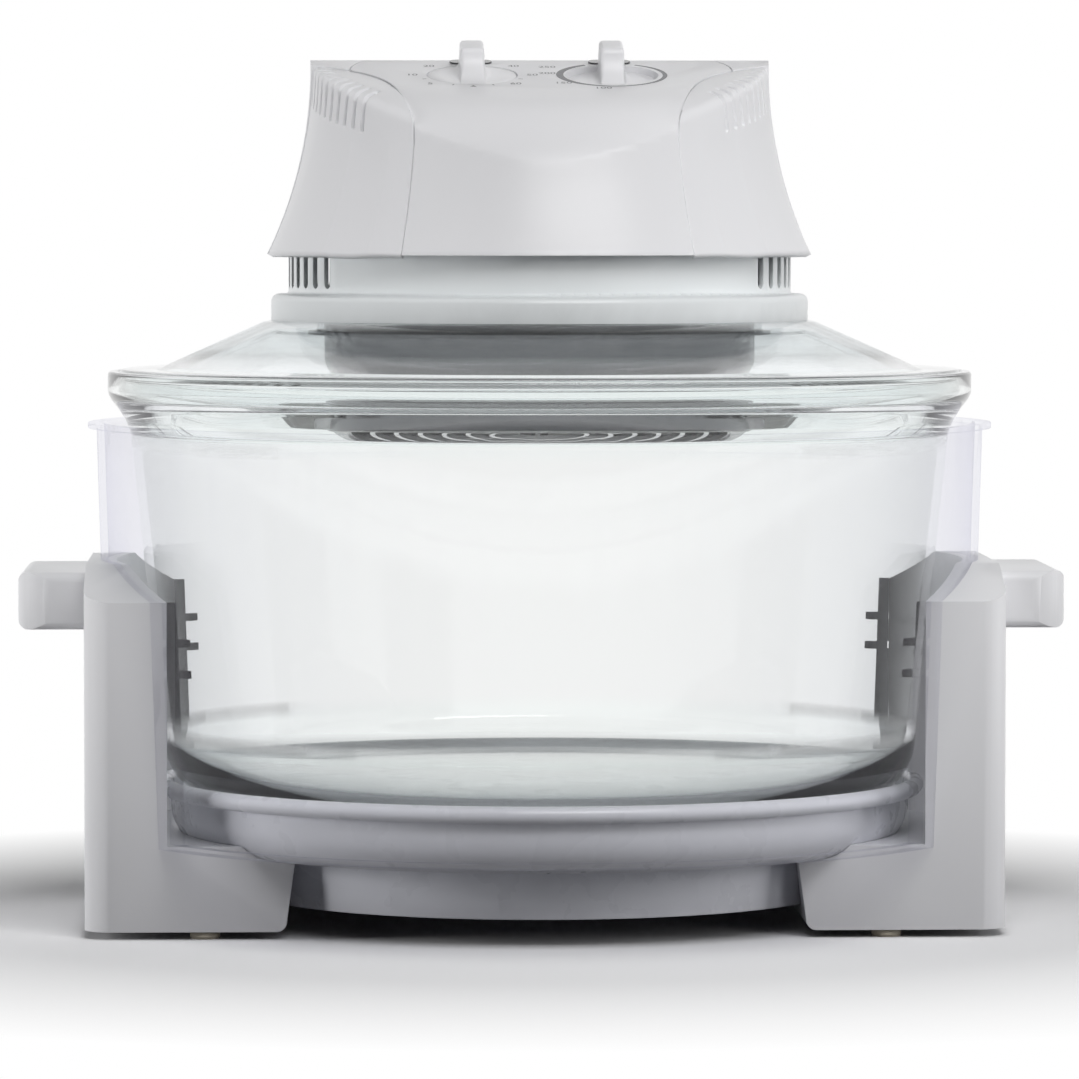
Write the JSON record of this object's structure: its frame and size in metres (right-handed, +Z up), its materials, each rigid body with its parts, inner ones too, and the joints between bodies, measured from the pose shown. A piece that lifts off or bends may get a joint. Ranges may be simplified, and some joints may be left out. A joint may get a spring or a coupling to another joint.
{
  "type": "halogen oven",
  "caption": "Countertop halogen oven: glass bowl in a white stand with clear guard and side handles, lift-off glass lid with control head, fan and ring lamp.",
  "frame": {"origin": "on the table under the middle of the oven, at the pads' lower faces", "axes": "+Z up, -Y towards the front with the controls, +X to the right seen from the front"},
  "size_m": [0.4094, 0.3566, 0.347],
  "materials": {
    "white_plastic": "glossy moulded plastic",
    "tray_plastic": "glossy moulded plastic",
    "housing_plastic": "glossy moulded plastic, slightly cooler white",
    "clear_plastic": "clear moulded plastic",
    "clear_glass": "clear tempered glass",
    "lamp_glass": "quartz tube",
    "silicone": "silicone rubber",
    "pad_rubber": "soft rubber",
    "plated_steel": "zinc plated",
    "dark_steel": "polished dark steel",
    "bright_sheet": "bright sheet",
    "stator_iron": "laminated iron, varnished",
    "copper_winding": "enamelled copper",
    "lamp_ceramic": "matt ceramic",
    "fan_plastic": "heat resistant plastic",
    "switch_plastic": "moulded plastic",
    "black_rubber": "soft plastic",
    "smoky_lens": "smoky clear plastic"
  },
  "bodies": {
    "stand": {"left_support": "white_plastic", "right_support": "white_plastic", "base_tray": "tray_plastic", "guard": "clear_plastic", "rubber_pads": "pad_rubber", "support_screws": "plated_steel"},
    "bowl": {"glass_bowl": "clear_glass"},
    "lid": {"lid_glass": "clear_glass", "lid_gasket": "silicone", "lower_housing": "housing_plastic", "heater_shroud": "dark_steel", "reflector_plate": "bright_sheet", "halogen_lamp": "lamp_glass", "lamp_caps": "lamp_ceramic", "lamp_clips": "plated_steel", "lamp_guard": "plated_steel", "motor_stator": "stator_iron", "motor_coil": "copper_winding", "motor_bridges": "plated_steel", "motor_bracket": "plated_steel", "motor_screws": "plated_steel", "terminal_block": "switch_plastic", "housing_screws": "plated_steel", "cord_gland": "black_rubber", "control_panel": "white_plastic", "left_casing": "white_plastic", "right_casing": "white_plastic", "rear_casing": "white_plastic", "timer_mechanism": "plated_steel", "thermostat": "switch_plastic", "indicator_lenses": "smoky_lens", "indicator_lamps": "lamp_glass"},
    "drive": {"motor_shaft": "plated_steel", "motor_rotor": "plated_steel", "circulation_fan": "bright_sheet", "cooling_fan": "fan_plastic"},
    "timer_control": {"timer_knob": "white_plastic", "timer_spindle": "plated_steel"},
    "thermostat_control": {"thermostat_knob": "white_plastic", "thermostat_spindle": "plated_steel"}
  },
  "joints": [
    {"name": "bowl_lift", "type": "slide", "parent": "stand", "child": "bowl", "axis": [0, 0, 1], "range_m": [0, 0.18]},
    {"name": "lid_lift", "type": "slide", "parent": "bowl", "child": "lid", "axis": [0, 0, 1], "range_m": [0, 0.2]},
    {"name": "fan_spin", "type": "hinge", "parent": "lid", "child": "drive", "pos_m": [0, 0, 0.25], "axis": [0, 0, 1], "continuous": true},
    {"name": "timer_turn", "type": "hinge", "parent": "lid", "child": "timer_control", "pos_m": [-0.0273, -0.02699, 0.33307], "axis": [0, 0.225, -0.9744], "range_deg": [0, 300]},
    {"name": "thermostat_turn", "type": "hinge", "parent": "lid", "child": "thermostat_control", "pos_m": [0.0273, -0.02699, 0.33307], "axis": [0, 0.225, -0.9744], "range_deg": [0, 270]}
  ]
}
